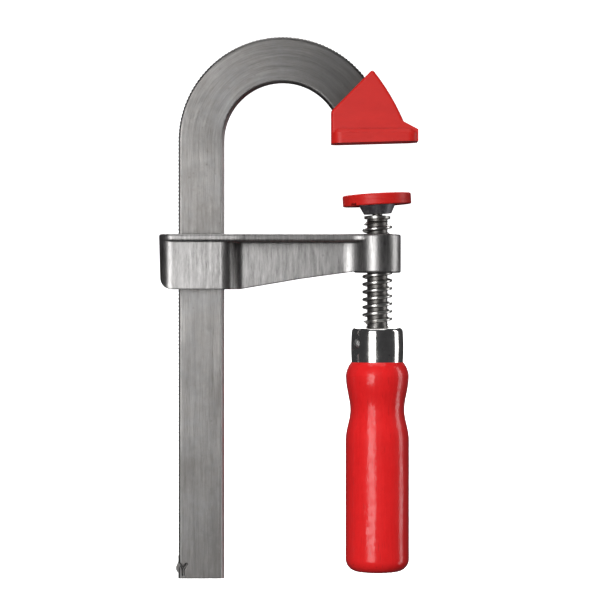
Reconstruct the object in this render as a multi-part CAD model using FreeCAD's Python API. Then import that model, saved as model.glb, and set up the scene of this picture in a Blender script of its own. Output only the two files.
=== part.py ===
import FreeCAD, Part
import math
import os

# F clamp with a bent flat rail, a sliding arm and a screw spindle.
#
# Millimetres. +Z runs along the spindle axis from the moving pad up to the
# fixed jaw, +X points away from the rail, and the clamp's front looks along -Y.
# The origin is where the spindle axis meets the fixed jaw's clamping face.

# ---- overall sizes ----------------------------------------------------------
throat = 50.0                  # rail's inner edge to the spindle axis
rail_below_jaw = 142.1         # jaw face down to the rail's bottom end
opening = 16.7                 # jaw face down to the pad's top at rest
arm_top_below_jaw = 29.8       # jaw face down to the arm's top at rest

# ---- rail -------------------------------------------------------------------
rail_width = 15.0
rail_thickness = 5.0
rail_edge_radius = 1.1         # rolled long edges of the bar
arch_inner_radius = 19.1
arch_centre_height = 0.5       # arch centre above the jaw face
tooth_pitch = 1.25             # serration on the rail's outer narrow edge
tooth_depth = 0.3
teeth_start = 7.5              # plain length above the rail's bottom end
stop_height = 3.5              # centre of the staked stop above the bottom end
stop_radius = 2.1
stop_bulge = 0.75              # how far the staked metal stands out
stop_half_depth = 2.1
stake_depth = 0.5              # depth of the chisel marks beside the stop
stake_width = 1.3
stake_length = 2.3
stake_inset = 1.7              # middle of the Y mark from the rail's outer edge
stake_drop = 0.4               # middle of the Y mark below the stop's centre
stake_spread = 35.0            # degrees each arm of the Y leans from upright
stake_overlap = 0.1            # the Y's strokes pass its middle and the face by this much

# ---- fixed jaw cap ----------------------------------------------------------
jaw_left = 15.1                # cap reach towards the rail
jaw_right = 13.2               # cap reach away from the rail
jaw_face_lean = 1.6            # degrees the clamping face rises outwards
jaw_floor = 2.8                # plastic between the rail's end and the work
jaw_base_height = 4.4
jaw_base_half_depth = 6.8
jaw_base_corner_radius = 3.4
jaw_base_bevel = 1.3           # slope between the base and the narrower body
jaw_body_half_depth = 5.2
jaw_body_edge_radius = 0.9
jaw_left_height = 10.1
jaw_peak_x = -1.7
jaw_peak_height = 23.7
jaw_peak_radius = 0.8
jaw_lip_height = 4.2
jaw_shoulder_x = 8.5           # inner corner where the lip meets the back
jaw_shoulder_height = 6.7
jaw_back_bow = 0.7             # how far the back edge bows outwards
cap_clearance = 0.05           # pocket wall to rail

# ---- sliding arm ------------------------------------------------------------
slot_clearance = 0.25          # arm slot to rail, on every side
arm_height = 18.0
arm_wall_outer = 5.9           # metal behind the rail's outer edge
arm_wall_inner = 4.65          # the box's slanted inner face ends here, at the web
arm_shoulder_reach = 1.05      # and starts this far past the rail's slot
arm_half_depth = 7.2
arm_corner_radius = 4.4
arm_shoulder_radius = 4.3      # rounds the box into its slanted face
arm_side_draft = 0.6           # how far the outer side leans in at the bottom
arm_foot_radius = 3.8
flange_thickness = 2.8
flange_half_depth = 7.8        # over the box
flange_corner_radius = 5.0
flange_tip_half_depth = 5.6    # where it runs into the boss
flange_edge_radius = 0.8
flange_under_radius = 1.2
web_half_depth = 3.2
web_knee_x = -25.2             # where the arm's underside changes slope
web_knee_height = 3.4          # height of that knee above the arm's bottom
web_tip_height = 5.8           # underside height where it reaches the boss
web_blend_radius = 2.7         # hollow between the slanted face and the web
boss_blend_radius = 8.5        # hollow between the web or flange and the boss
boss_radius = 7.7
boss_height = 12.6
boss_foot_radius = 0.6

# ---- spindle ----------------------------------------------------------------
thread_pitch = 2.5
thread_core_radius = 3.35
thread_crest_radius = 4.9
thread_root_width = 1.5
thread_crest_width = 0.75
thread_bevel = 0.2             # rounding of the crest's corners
thread_side_clearance = 0.12   # nut flank to spindle flank, along the axis
thread_crest_clearance = 0.15
nut_mouth_clearance = 0.2      # the boss's countersinks open wider than the groove by this
nut_bore_clearance = 0.3       # nut's minor radius over the spindle's core
thread_below_arm = 17.4        # threaded length below the boss at rest
thread_sink = 0.3              # how far the ridge's section reaches into the core
thread_fade = 0.3              # thread stops this far short of the collar
ball_radius = 2.6
neck_radius = 1.65
collar_radius = 4.3
collar_thickness = 1.0
collar_gap = 0.15              # collar top below the fully tilted plate
collar_bevel = 0.25
shank_radius = 3.6
shank_depth = 24.0             # how far the shank enters the handle's wood
shank_bevel = 1.2
core_overlap = 0.1             # the core runs into the shank by this much

# ---- swivel plate, its retaining ring and its cap ---------------------------
rest_tilt = 3.2                # degrees the plate leans at rest
tilt_limit = 8.0               # degrees the plate can lean each way
ball_clearance = 0.08          # socket to ball, radial
ring_wall = 0.72
ring_clearance = 0.1           # ring to the plate's socket, radial
ring_gap = 1.0                 # slit in the ring
ring_slit_turn = 120.0         # degrees from the X axis round to the slit
ring_top_gap = 0.15            # ring's top below the fully tilted seat
ring_foot_rise = 0.25          # ring's foot above the hub's mouth
socket_roof = 0.6              # steel over the ball
plate_radius = 10.1
plate_thickness = 1.6
plate_edge_radius = 0.3
hub_radius = 6.5
hub_mouth_radius = 4.5
hub_depth = 2.3                # hub below the ball's centre
pad_radius = 11.2
pad_height = 3.7
pad_roof = 0.9                 # plastic over the steel plate
pad_lip_width = 2.6            # lip that clips under the steel plate
pad_clearance = 0.03
pad_top_radius = 0.7
pad_foot_radius = 0.4
pad_notch_width = 2.4
pad_notch_height = 0.8
pad_notch_turn = 45.0          # degrees from the rail's side towards the front

# ---- handle, ferrule and cross pin ------------------------------------------
ferrule_length = 11.3
ferrule_gap = 0.5              # thread's end above the ferrule
ferrule_top_radius = 8.25
ferrule_waist_radius = 8.55
ferrule_foot_radius = 8.4
ferrule_wall = 0.8
ferrule_edge_radius = 1.4
handle_length = 68.1
handle_neck_radius = 8.5       # wood that shows below the ferrule's rim
handle_shoulder_radius = 10.3
handle_waist_radius = 8.85
handle_barrel_radius = 10.38
handle_round_radius = 9.65     # the shoulder's rounding, halfway round
handle_round_drop = 1.85
handle_shoulder_drop = 4.3     # shoulder's widest ring below the ferrule
handle_waist_drop = 15.6
handle_barrel_drop = 25.8
handle_end_radius = 4.1
handle_end_dome = 0.35
handle_dome_share = 0.75       # share of the dome's depth at half its radius
bore_below_shank = 0.5         # free depth in the wood under the shank
wood_clearance = 0.03
pin_radius = 1.3
pin_head_radius = 1.75
pin_head_height = 0.8
pin_head_sink = 0.2            # how far the head is set into the ferrule
pin_dimple_height = 8.4        # hollow pressed into the ferrule round each pin head
pin_dimple_depth = 0.5
pin_drop = 5.2                 # pin axis below the ferrule's top
pin_turn = 32.0                # degrees the pin is turned from the X axis
pin_clearance = 0.02
pin_trim_clearance = 0.001     # keeps the trim of the heads off the pin's own side

# ---- working values ---------------------------------------------------------
overshoot = 1.0                # a cutting piece passes the face it cuts by this much
same_place = 1e-3              # lengths that differ by less count as equal

# ---- places that follow from the sizes --------------------------------------
rail_inner_x = -throat
rail_outer_x = rail_inner_x - rail_width
rail_bottom = -rail_below_jaw
arch_outer_radius = arch_inner_radius + rail_width
arch_centre_x = rail_inner_x + arch_inner_radius

arm_top = -arm_top_below_jaw
arm_bottom = arm_top - arm_height
arm_outer_x = rail_outer_x - slot_clearance - arm_wall_outer
arm_inner_x = rail_inner_x + slot_clearance + arm_wall_inner
arm_shoulder_x = rail_inner_x + slot_clearance + arm_shoulder_reach
boss_bottom = arm_top - boss_height

pad_top = -opening
pad_bottom = pad_top - pad_height
plate_top = pad_top - pad_roof
plate_bottom = plate_top - plate_thickness
socket_radius = ball_radius + ball_clearance
pivot = plate_top - socket_roof - socket_radius
tilt = math.radians(tilt_limit)
hub_reach = hub_depth * math.cos(tilt) + hub_mouth_radius * math.sin(tilt)
collar_top = pivot - hub_reach - collar_gap
collar_bottom = collar_top - collar_thickness

thread_bottom = boss_bottom - thread_below_arm
ferrule_top = thread_bottom - ferrule_gap
ferrule_bottom = ferrule_top - ferrule_length
handle_bottom = ferrule_bottom - handle_length
shank_bottom = ferrule_bottom - shank_depth
pin_height = ferrule_top - pin_drop

UP = FreeCAD.Vector(0, 0, 1)
ALONG_Y = FreeCAD.Vector(0, 1, 0)
CENTRE = FreeCAD.Vector(0, 0, 0)


def point(x, z, y=0.0):
    return FreeCAD.Vector(x, y, z)


def block(x_low, x_high, half_depth, z_low, z_high):
    """A box centred on the XZ plane."""
    corner = FreeCAD.Vector(x_low, -half_depth, z_low)
    return Part.makeBox(x_high - x_low, 2 * half_depth, z_high - z_low, corner)


def disc(radius, z_low, z_high):
    """A cylinder on the spindle axis."""
    return Part.makeCylinder(radius, z_high - z_low, FreeCAD.Vector(0, 0, z_low))


def plate_from(wire, half_depth):
    """Extrude a closed outline in the XZ plane to both sides of the plane."""
    face = Part.Face(wire)
    face.translate(FreeCAD.Vector(0, -half_depth, 0))
    return face.extrude(FreeCAD.Vector(0, 2 * half_depth, 0))


def turned(edges):
    """Turn a closed outline of edges, drawn in the XZ plane, about the spindle axis."""
    face = Part.Face(Part.Wire(edges))
    return face.revolve(CENTRE, UP, 360)


def path(points):
    """Straight edges through a closed list of points."""
    return Part.makePolygon(points + points[:1]).Edges


def is_upright(edge):
    ends = [vertex.Point for vertex in edge.Vertexes]
    return len(ends) == 2 and ends[0].sub(ends[1]).cross(UP).Length < same_place


def prism(plan, z_low, z_high):
    """A solid with upright sides. The plan's (x, half depth) points are one side of the XZ plane."""
    front = [FreeCAD.Vector(x, -half_depth, z_low) for x, half_depth in plan]
    back = [FreeCAD.Vector(x, half_depth, z_low) for x, half_depth in reversed(plan)]
    outline = Part.makePolygon(front + back + front[:1])
    return Part.Face(outline).extrude(FreeCAD.Vector(0, 0, z_high - z_low))


def upright_edges(shape, x, half_depth):
    """The vertical edges at this X and at this distance either side of the XZ plane."""
    found = []
    for edge in shape.Edges:
        foot = edge.Vertexes[0].Point
        if is_upright(edge) and abs(foot.x - x) < same_place \
                and abs(abs(foot.y) - half_depth) < same_place:
            found.append(edge)
    return found


def level_edges(shape, z):
    """Every edge that lies at one height."""
    return [edge for edge in shape.Edges
            if abs(edge.BoundBox.ZMin - z) < same_place
            and abs(edge.BoundBox.ZMax - z) < same_place]


def crosswise_edges(shape, x, z):
    """The edges parallel to Y that pass through one point of the XZ plane."""
    found = []
    for edge in shape.Edges:
        box = edge.BoundBox
        flat = box.XLength < same_place and box.ZLength < same_place
        if flat and abs(box.XMin - x) < same_place and abs(box.ZMin - z) < same_place:
            found.append(edge)
    return found


# ---- rail -------------------------------------------------------------------
def bar_section(x_low, x_high, half_depth, radius, z):
    """The bar's cross-section, a rectangle with rounded corners, as a face at height z."""
    section = block(x_low, x_high, half_depth, z, z + overshoot)
    corners = upright_edges(section, x_low, half_depth)
    corners += upright_edges(section, x_high, half_depth)
    section = section.makeFillet(radius, corners)
    return [face for face in section.Faces if abs(face.BoundBox.ZMax - z) < same_place][0]


def bent_bar(clearance, radius, bottom, end_height):
    """Straight bar and arch, cut level at end_height, swollen by a clearance."""
    x_low = rail_outer_x - clearance
    x_high = rail_inner_x + clearance
    half_depth = rail_thickness / 2 + clearance
    section = bar_section(x_low, x_high, half_depth, radius, arch_centre_height)
    straight = section.extrude(FreeCAD.Vector(0, 0, bottom - arch_centre_height))
    axis_point = point(arch_centre_x, arch_centre_height)
    arch = section.revolve(axis_point, ALONG_Y, 180)
    below_end = block(arch_centre_x, arch_centre_x + 2 * arch_outer_radius,
                      rail_thickness, arch_centre_height - rail_width, end_height)
    return straight.fuse(arch.cut(below_end)).removeSplitter()


def toothed_outline():
    """The rail seen from the front, with its serrated outer edge."""
    valleys = []
    height = rail_bottom + teeth_start
    while height < arch_centre_height:
        valleys.append(point(rail_outer_x, height))
        valleys.append(point(rail_outer_x + tooth_depth, height + tooth_pitch / 2))
        height += tooth_pitch
    step = tooth_pitch / arch_outer_radius
    angle = math.pi - (height - arch_centre_height) / arch_outer_radius
    while angle > -step:
        for radius, turn in ((arch_outer_radius, angle), (arch_outer_radius - tooth_depth, angle - step / 2)):
            x = arch_centre_x + radius * math.cos(turn)
            z = arch_centre_height + radius * math.sin(turn)
            valleys.append(point(x, z))
        angle -= step
    bottom = rail_bottom - overshoot
    inner = [point(arch_centre_x, arch_centre_height - rail_width), point(arch_centre_x, bottom)]
    start = [point(rail_outer_x, bottom)]
    return Part.makePolygon(start + valleys + inner + start)


def staked_stop():
    """Metal raised by a chisel at the rail's outer edge, which keeps the arm on."""
    centre = FreeCAD.Vector(rail_outer_x - stop_bulge + stop_radius, -stop_half_depth,
                            rail_bottom + stop_height)
    return Part.makeCylinder(stop_radius, 2 * stop_half_depth, centre, ALONG_Y)


def chisel_mark(side):
    """Three short V grooves that meet in a Y on one face beside the stop."""
    surface = side * (rail_thickness / 2 + stake_overlap)
    bottom = side * (rail_thickness / 2 - stake_depth)
    section = Part.Face(Part.makePolygon([
        FreeCAD.Vector(-stake_overlap, surface, -stake_width / 2),
        FreeCAD.Vector(-stake_overlap, surface, stake_width / 2),
        FreeCAD.Vector(-stake_overlap, bottom, 0),
        FreeCAD.Vector(-stake_overlap, surface, -stake_width / 2),
    ]))
    strokes = []
    for angle in (90 - stake_spread, 90 + stake_spread, 270):
        stroke = section.extrude(FreeCAD.Vector(stake_length, 0, 0))
        stroke.rotate(CENTRE, ALONG_Y, -angle)
        strokes.append(stroke)
    mark = strokes[0].fuse(strokes[1:])
    mark.translate(point(rail_outer_x + stake_inset, rail_bottom + stop_height - stake_drop))
    return mark


def make_rail():
    bar = bent_bar(0.0, rail_edge_radius, rail_bottom, jaw_floor)
    rail = bar.common(plate_from(toothed_outline(), rail_thickness))
    rail = rail.fuse(staked_stop())
    return rail.cut([chisel_mark(-1), chisel_mark(1)])


# ---- fixed jaw cap ----------------------------------------------------------
def face_height(x):
    """Height of the clamping face, which leans slightly, at this X."""
    return x * math.tan(math.radians(jaw_face_lean))


def jaw_outline():
    left_foot = point(-jaw_left, face_height(-jaw_left))
    left_top = point(-jaw_left, jaw_left_height)
    peak = point(jaw_peak_x, jaw_peak_height)
    shoulder = point(jaw_shoulder_x, jaw_shoulder_height)
    lip_top = point(jaw_right, jaw_lip_height)
    right_foot = point(jaw_right, face_height(jaw_right))
    chord = shoulder.sub(peak)
    outwards = FreeCAD.Vector(-chord.z, 0, chord.x).normalize().multiply(jaw_back_bow)
    bow = peak.add(shoulder).multiply(0.5).add(outwards)
    if bow.x < (peak.x + shoulder.x) / 2:
        bow = peak.add(shoulder).multiply(0.5).sub(outwards)
    back = Part.Arc(peak, bow, shoulder).toShape()
    straight = [
        Part.LineSegment(shoulder, lip_top).toShape(),
        Part.LineSegment(lip_top, right_foot).toShape(),
        Part.LineSegment(right_foot, left_foot).toShape(),
        Part.LineSegment(left_foot, left_top).toShape(),
        Part.LineSegment(left_top, peak).toShape(),
    ]
    return Part.Wire([back] + straight)


def make_jaw_cap():
    body = plate_from(jaw_outline(), jaw_body_half_depth)
    body = body.makeFillet(jaw_peak_radius, crosswise_edges(body, jaw_peak_x, jaw_peak_height))
    rim = [edge for edge in body.Edges
           if edge.BoundBox.YLength < same_place
           and edge.BoundBox.ZMax > jaw_lip_height + same_place
           and edge.BoundBox.XMax < jaw_shoulder_x + same_place]
    body = body.makeFillet(jaw_body_edge_radius, rim)
    wide = plate_from(jaw_outline(), jaw_base_half_depth)
    slab = block(-jaw_left, jaw_right, jaw_base_half_depth, face_height(-jaw_left) - overshoot,
                 jaw_base_height)
    base = wide.common(slab)
    corners = upright_edges(base, -jaw_left, jaw_base_half_depth)
    corners += upright_edges(base, jaw_right, jaw_base_half_depth)
    base = base.makeFillet(jaw_base_corner_radius, corners)
    top = [edge for edge in level_edges(base, jaw_base_height) if edge.BoundBox.XLength > jaw_left]
    base = base.makeChamfer(jaw_base_bevel, top)
    cap = body.fuse(base)
    pocket = bent_bar(cap_clearance, rail_edge_radius, arch_centre_height - overshoot, jaw_floor)
    return cap.cut(pocket)


# ---- sliding arm ------------------------------------------------------------
def blend_into_boss(shape):
    """Hollow the upright corners where a plate runs into the boss."""
    corners = []
    for edge in shape.Edges:
        foot = edge.Vertexes[0].Point
        on_boss = abs(math.hypot(foot.x, foot.y) - boss_radius) < same_place
        if is_upright(edge) and on_boss and foot.x < 0 and abs(foot.y) > rail_thickness / 2:
            corners.append(edge)
    return shape.makeFillet(boss_blend_radius, corners)


def arm_plan():
    """The arm's box and web seen from above, run into the boss, as one upright solid."""
    low, high = arm_bottom - overshoot, arm_top - flange_thickness / 2
    box_and_web = prism([(arm_outer_x, arm_half_depth), (arm_shoulder_x, arm_half_depth),
                         (arm_inner_x, web_half_depth), (0, web_half_depth)], low, high)
    plan = box_and_web.fuse(disc(boss_radius, low, high)).removeSplitter()
    for x, half_depth, radius in (
        (arm_outer_x, arm_half_depth, arm_corner_radius),
        (arm_shoulder_x, arm_half_depth, arm_shoulder_radius),
        (arm_inner_x, web_half_depth, web_blend_radius),
    ):
        plan = plan.makeFillet(radius, upright_edges(plan, x, half_depth))
    return blend_into_boss(plan)


def arm_side():
    """The arm's outline seen from the front, as a plate."""
    foot_x = arm_outer_x + arm_side_draft
    blend_end = -boss_radius / math.sqrt(2)
    outline = [
        point(arm_outer_x, arm_top),
        point(foot_x, arm_bottom),
        point(arm_inner_x, arm_bottom),
        point(web_knee_x, arm_bottom + web_knee_height),
        point(-boss_radius, arm_bottom + web_tip_height),
        point(blend_end, arm_bottom + web_tip_height),
        point(blend_end, arm_top),
    ]
    side = plate_from(Part.Wire(path(outline)), 2 * arm_half_depth)
    return side.makeFillet(arm_foot_radius, crosswise_edges(side, foot_x, arm_bottom))


def arm_flange():
    """The flat top of the arm, as wide as the box at one end and run into the boss at the other."""
    low = arm_top - flange_thickness
    flange = prism([(arm_outer_x, flange_half_depth), (arm_inner_x, flange_half_depth),
                    (-boss_radius, flange_tip_half_depth), (0, flange_tip_half_depth)], low, arm_top)
    flange = flange.fuse(disc(boss_radius, low, arm_top)).removeSplitter()
    flange = flange.makeFillet(flange_corner_radius,
                               upright_edges(flange, arm_outer_x, flange_half_depth))
    flange = blend_into_boss(flange)
    flange = flange.makeFillet(flange_edge_radius, level_edges(flange, arm_top))
    return flange.makeFillet(flange_under_radius, level_edges(flange, low))


def thread_ridge(root_radius, crest_radius, root_width, crest_width, bevel, bottom, turns):
    """A right-hand ridge wound up the spindle axis from height bottom."""
    spread = (root_width - crest_width) / (crest_radius - root_radius)
    foot = root_width / 2 + thread_sink * spread / 2
    side = crest_width / 2 + bevel * spread / 2
    section = [
        point(root_radius - thread_sink, -foot),
        point(crest_radius - bevel, -side),
        point(crest_radius, bevel - side),
        point(crest_radius, side - bevel),
        point(crest_radius - bevel, side),
        point(root_radius - thread_sink, foot),
    ]
    outline = Part.Wire(path(section))
    helix = Part.makeHelix(thread_pitch, turns * thread_pitch, root_radius)
    ridge = Part.Wire(helix).makePipeShell([outline], True, True)
    ridge.translate(FreeCAD.Vector(0, 0, bottom))
    return ridge


def nut_thread():
    """The space that the boss gives to the spindle's thread."""
    widen = 2 * thread_side_clearance
    turns = math.ceil(boss_height / thread_pitch) + 2
    groove = thread_ridge(thread_core_radius, thread_crest_radius + thread_crest_clearance,
                          thread_root_width + widen, thread_crest_width + widen,
                          0.0, boss_bottom - thread_pitch, turns)
    bore = disc(thread_core_radius + nut_bore_clearance, boss_bottom - overshoot, arm_top + overshoot)
    mouth = thread_crest_radius + thread_crest_clearance + nut_mouth_clearance
    entries = []
    for height, way in ((boss_bottom, 1), (arm_top, -1)):
        base = FreeCAD.Vector(0, 0, height)
        entries.append(Part.makeCone(mouth, thread_core_radius, mouth - thread_core_radius,
                                     base, FreeCAD.Vector(0, 0, way)))
    return [bore, groove] + entries


def make_sliding_arm():
    body = arm_plan().common(arm_side())
    boss = disc(boss_radius, boss_bottom, arm_top - flange_thickness / 2)
    boss = boss.makeFillet(boss_foot_radius, level_edges(boss, boss_bottom))
    arm = body.fuse([arm_flange(), boss]).removeSplitter()
    slot = block(rail_outer_x - slot_clearance, rail_inner_x + slot_clearance,
                 rail_thickness / 2 + slot_clearance,
                 arm_bottom - overshoot, arm_top + overshoot)
    arm = arm.cut(slot)
    for cutter in nut_thread():
        arm = arm.cut(cutter)
    return arm


# ---- spindle ----------------------------------------------------------------
def thread_envelope():
    """The room that the thread may fill, with a slope at each end for the thread to fade out."""
    inside = thread_core_radius - thread_sink
    outside = thread_crest_radius + thread_sink
    slope = outside - inside
    top = collar_bottom - thread_fade
    return turned(path([
        point(0, thread_bottom),
        point(inside, thread_bottom),
        point(outside, thread_bottom + slope),
        point(outside, top - slope),
        point(inside, top),
        point(0, top),
    ]))


def neck_collar():
    """The collar under the ball, coned so that it fills the room under the tilted plate."""
    cone_height = (collar_radius - ball_radius) * math.tan(tilt)
    return turned(path([
        point(0, collar_bottom),
        point(collar_radius - collar_bevel, collar_bottom),
        point(collar_radius, collar_bottom + collar_bevel),
        point(collar_radius, collar_top),
        point(ball_radius, collar_top + cone_height),
        point(0, collar_top + cone_height),
    ]))


def make_spindle():
    ball = Part.makeSphere(ball_radius, FreeCAD.Vector(0, 0, pivot))
    neck = disc(neck_radius, collar_bottom, pivot)
    core = disc(thread_core_radius, thread_bottom - core_overlap, collar_bottom)
    shank = disc(shank_radius, shank_bottom, thread_bottom)
    shank = shank.makeChamfer(shank_bevel, level_edges(shank, shank_bottom))
    turns_below_boss = math.ceil((boss_bottom - thread_bottom) / thread_pitch) + 1
    start = boss_bottom - thread_pitch * turns_below_boss
    turns = math.ceil((collar_bottom - start) / thread_pitch) + 1
    ridge = thread_ridge(thread_core_radius, thread_crest_radius, thread_root_width,
                         thread_crest_width, thread_bevel, start, turns)
    spindle = ball.fuse([neck, neck_collar(), core, shank])
    spindle = spindle.fuse(ridge.common(thread_envelope()))
    return spindle.cut(pin_hole())


# ---- swivel plate, retaining ring and cap -----------------------------------
def tilted(shape):
    """Lean a piece of the swivel pad about the ball's centre, outer side up."""
    shape.rotate(FreeCAD.Vector(0, 0, pivot), ALONG_Y, -rest_tilt)
    return shape


def ball_zone(radius, z_low, z_high):
    """The slice of a sphere round the ball's centre between two heights."""
    sphere = Part.makeSphere(radius, FreeCAD.Vector(0, 0, pivot))
    return sphere.common(disc(radius + overshoot, pivot + z_low, pivot + z_high))


def make_retaining_ring():
    outer = socket_radius + ring_wall
    top = -(outer + ring_clearance) * math.sin(tilt) - ring_top_gap
    bottom = -hub_depth + ring_foot_rise
    ring = ball_zone(outer, bottom, top)
    ring = ring.cut(Part.makeSphere(socket_radius, FreeCAD.Vector(0, 0, pivot)))
    slit = Part.makeBox(2 * outer, ring_gap, 2 * outer,
                        FreeCAD.Vector(0, -ring_gap / 2, pivot - outer))
    slit.rotate(CENTRE, UP, ring_slit_turn)
    return ring.cut(slit)


def make_pressure_plate():
    plate = disc(plate_radius, plate_bottom, plate_top)
    plate = plate.makeFillet(plate_edge_radius, level_edges(plate, plate_top))
    hub = Part.makeCone(hub_mouth_radius, hub_radius, plate_bottom - pivot + hub_depth,
                        FreeCAD.Vector(0, 0, pivot - hub_depth))
    plate = plate.fuse(hub)
    plate = plate.cut(Part.makeSphere(socket_radius, FreeCAD.Vector(0, 0, pivot)))
    seat = ball_zone(socket_radius + ring_wall + ring_clearance, -2 * ball_radius, 0)
    return tilted(plate.cut(seat))


def make_plate_cap():
    cap = disc(pad_radius, pad_bottom, pad_top)
    cap = cap.makeFillet(pad_top_radius, level_edges(cap, pad_top))
    cap = cap.makeFillet(pad_foot_radius, level_edges(cap, pad_bottom))
    cap = cap.cut(disc(plate_radius + pad_clearance, plate_bottom, plate_top))
    cap = cap.cut(disc(plate_radius - pad_lip_width, pad_bottom - overshoot, plate_bottom))
    notch = block(-pad_radius - overshoot, 0, pad_notch_width / 2,
                  pad_bottom - overshoot, pad_bottom + pad_notch_height)
    notch.rotate(CENTRE, UP, pad_notch_turn)
    return tilted(cap.cut(notch))


# ---- handle, ferrule and cross pin ------------------------------------------
def across_pin(radius, half_length):
    """A cylinder along the cross pin's axis."""
    rod = Part.makeCylinder(radius, 2 * half_length, FreeCAD.Vector(-half_length, 0, pin_height),
                            FreeCAD.Vector(1, 0, 0))
    rod.rotate(CENTRE, UP, pin_turn)
    return rod


def pin_hole():
    return across_pin(pin_radius + pin_clearance, 2 * ferrule_waist_radius)


def ferrule_side(shrink):
    """The ferrule's barrelled side, from its foot to its top, moved inwards by shrink."""
    foot = point(ferrule_foot_radius - shrink, ferrule_bottom)
    waist = point(ferrule_waist_radius - shrink, pin_height)
    top = point(ferrule_top_radius - shrink, ferrule_top - shrink)
    return foot, top, Part.Arc(foot, waist, top).toShape()


def ferrule_solid(shrink):
    foot, top, side = ferrule_side(shrink)
    axis_top = point(0, top.z)
    axis_foot = point(0, foot.z)
    solid = turned([
        side,
        Part.LineSegment(top, axis_top).toShape(),
        Part.LineSegment(axis_top, axis_foot).toShape(),
        Part.LineSegment(axis_foot, foot).toShape(),
    ])
    return solid.makeFillet(ferrule_edge_radius - shrink, level_edges(solid, top.z))


def ferrule_shell():
    """The sleeve with its two pressed hollows, before it is drilled for the pin."""
    shell = ferrule_solid(0.0).cut(ferrule_solid(ferrule_wall))
    shell = shell.cut(disc(shank_radius + wood_clearance, ferrule_bottom, ferrule_top + overshoot))
    half_height = pin_dimple_height / 2
    press_radius = (half_height ** 2 + pin_dimple_depth ** 2) / (2 * pin_dimple_depth)
    for side in (-1, 1):
        reach = side * (ferrule_waist_radius - pin_dimple_depth + press_radius)
        press = Part.makeSphere(press_radius, FreeCAD.Vector(reach, 0, pin_height))
        press.rotate(CENTRE, UP, pin_turn)
        shell = shell.cut(press)
    return shell


def make_ferrule():
    return ferrule_shell().cut(pin_hole())


def make_cross_pin():
    reach = ferrule_waist_radius - pin_dimple_depth
    pin = across_pin(pin_radius, reach)
    dome_radius = (pin_head_radius ** 2 + pin_head_height ** 2) / (2 * pin_head_height)
    for side in (-1, 1):
        tip = side * (reach + pin_head_height)
        head = Part.makeSphere(dome_radius, FreeCAD.Vector(tip - side * dome_radius, 0, pin_height))
        slab = Part.makeBox(pin_head_height + pin_head_sink, 2 * dome_radius, 2 * dome_radius,
                            FreeCAD.Vector(min(side * (reach - pin_head_sink), tip),
                                           -dome_radius, pin_height - dome_radius))
        head = head.common(slab)
        head.rotate(CENTRE, UP, pin_turn)
        pin = pin.fuse(head)
    return pin.cut(ferrule_shell().cut(across_pin(pin_radius + pin_trim_clearance, 2 * reach)))


def handle_outline():
    """The handle's turned outline, from the top of the wood to its lower end."""
    neck = point(handle_neck_radius, ferrule_bottom)
    shoulder = point(handle_shoulder_radius, ferrule_bottom - handle_shoulder_drop)
    waist = point(handle_waist_radius, ferrule_bottom - handle_waist_drop)
    barrel = point(handle_barrel_radius, ferrule_bottom - handle_barrel_drop)
    end = point(handle_barrel_radius, handle_bottom)
    round_over = point(handle_round_radius, ferrule_bottom - handle_round_drop)
    grip = Part.BSplineCurve()
    grip.interpolate(Points=[shoulder, waist, barrel],
                     Tangents=[point(0, -1)] * 3, TangentFlags=[True] * 3)
    tip = point(0, handle_bottom - handle_end_dome)
    dome = point(handle_barrel_radius / 2, handle_bottom - handle_end_dome * handle_dome_share)
    top = point(0, ferrule_bottom)
    return [
        Part.LineSegment(top, neck).toShape(),
        Part.Arc(neck, round_over, shoulder).toShape(),
        grip.toShape(),
        Part.LineSegment(barrel, end).toShape(),
        Part.Arc(end, dome, tip).toShape(),
        Part.LineSegment(tip, top).toShape(),
    ]


def make_handle():
    grip = turned(handle_outline())
    grip = grip.makeFillet(handle_end_radius, level_edges(grip, handle_bottom))
    tenon = ferrule_solid(ferrule_wall + wood_clearance)
    handle = grip.fuse(tenon)
    bore = disc(shank_radius + wood_clearance, shank_bottom - bore_below_shank,
                ferrule_top + overshoot)
    return handle.cut([bore, pin_hole()])


MAKERS = {
    "rail": make_rail,
    "jaw_cap": make_jaw_cap,
    "sliding_arm": make_sliding_arm,
    "spindle": make_spindle,
    "retaining_ring": make_retaining_ring,
    "pressure_plate": make_pressure_plate,
    "plate_cap": make_plate_cap,
    "ferrule": make_ferrule,
    "cross_pin": make_cross_pin,
    "handle": make_handle,
}


def main():
    os.makedirs("parts", exist_ok=True)
    for name, make in MAKERS.items():
        shape = make()
        solids = shape.Solids
        if len(solids) == 1:
            shape = solids[0]
        print(name, "solids", len(solids), "valid", shape.isValid(), "volume", round(shape.Volume, 1))
        shape.exportStep("parts/" + name + ".step")


main()
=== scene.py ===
# %% [markdown]
# # An F clamp, finished cell by cell
#
# A small F clamp is a flat steel bar bent into a hook, a zinc arm that slides on it, and a screw
# with a swivel pad and a red wooden handle. Its shape is already made, to the tenth of a
# millimetre, in the frame. What is left is what the eye calls quality: rolled steel that is
# streaked along the bar, a tumbled casting, bright plate, moulded plastic and lacquered wood.
# Each cell adds one of these, prints what it made, and says why it is made that way.

# %% Load the frame
import math

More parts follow.
